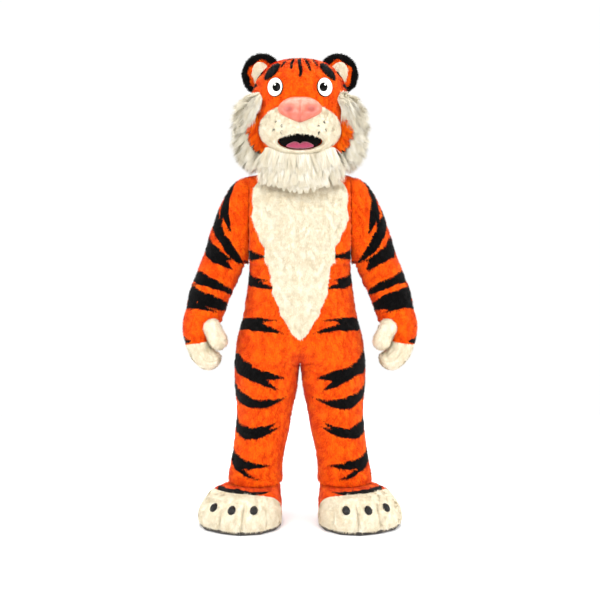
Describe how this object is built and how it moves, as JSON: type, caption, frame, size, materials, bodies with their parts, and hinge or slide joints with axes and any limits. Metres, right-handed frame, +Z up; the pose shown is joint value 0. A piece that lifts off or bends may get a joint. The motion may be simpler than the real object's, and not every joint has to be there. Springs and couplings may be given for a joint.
{
  "type": "mascot costume",
  "caption": "Full tiger mascot costume: striped plush suit with cream bib, mitts, padded paw boots and a foam head with long cream ruff.",
  "frame": {"origin": "the middle of the wearer's shoulder line, inside the suit, where the costume hangs from the wearer", "axes": "+Z up, -Y the way the face looks, +X the costume's left"},
  "size_m": [1.018, 0.5007, 2.0369],
  "materials": {
    "orange_plush": "short orange plush",
    "cream_plush": "short cream plush",
    "cream_pile": "long cream pile",
    "black_plush": "short black plush",
    "pink_vinyl": "soft satin vinyl",
    "white_plastic": "gloss white with printed iris",
    "black_plastic": "gloss black",
    "dark_gauze": "black see-through gauze",
    "tongue_felt": "brushed pink felt",
    "sole_foam": "dense dark foam",
    "zip_tape": "woven tape with teeth",
    "zip_metal": "satin metal"
  },
  "bodies": {
    "suit": {"bib": "cream_plush", "zip_tape": "zip_tape", "zip_slider": "zip_metal", "front_left": "orange_plush", "front_right": "orange_plush", "back_left": "orange_plush", "back_right": "orange_plush", "sleeve_left": "orange_plush", "sleeve_right": "orange_plush", "mitt_back_left": "orange_plush", "mitt_back_right": "orange_plush", "mitt_fingers_left": "cream_plush", "mitt_fingers_right": "cream_plush", "mitt_thumb_left": "cream_plush", "mitt_thumb_right": "cream_plush", "boot_toes_left": "cream_plush", "boot_toes_right": "cream_plush", "boot_upper_left": "orange_plush", "boot_upper_right": "orange_plush", "boot_sole_left": "sole_foam", "boot_sole_right": "sole_foam", "claw1_left": "black_plastic", "claw1_right": "black_plastic", "claw2_left": "black_plastic", "claw2_right": "black_plastic", "claw3_left": "black_plastic", "claw3_right": "black_plastic"},
    "head": {"head_shell": "orange_plush", "muzzle": "cream_plush", "nose": "pink_vinyl", "mouth_liner": "dark_gauze", "tongue": "tongue_felt", "beard": "cream_pile", "ruff_left": "cream_pile", "ruff_right": "cream_pile", "cheek_left": "orange_plush", "cheek_right": "orange_plush", "eye_left": "white_plastic", "eye_right": "white_plastic", "brow_left": "black_plush", "brow_right": "black_plush", "ear_left": "orange_plush", "ear_right": "orange_plush", "ear_lining_left": "cream_plush", "ear_lining_right": "cream_plush"},
    "zip_pull": {"zip_pull": "zip_metal"}
  },
  "joints": [
    {"name": "head_lift", "type": "slide", "parent": "suit", "child": "head", "axis": [0, 0, 1], "range_m": [0, 0.62]},
    {"name": "zip_pull_swing", "type": "hinge", "parent": "suit", "child": "zip_pull", "pos_m": [0, 0.11391, -0.0324], "axis": [1, 0, 0], "range_deg": [0, 150]}
  ]
}
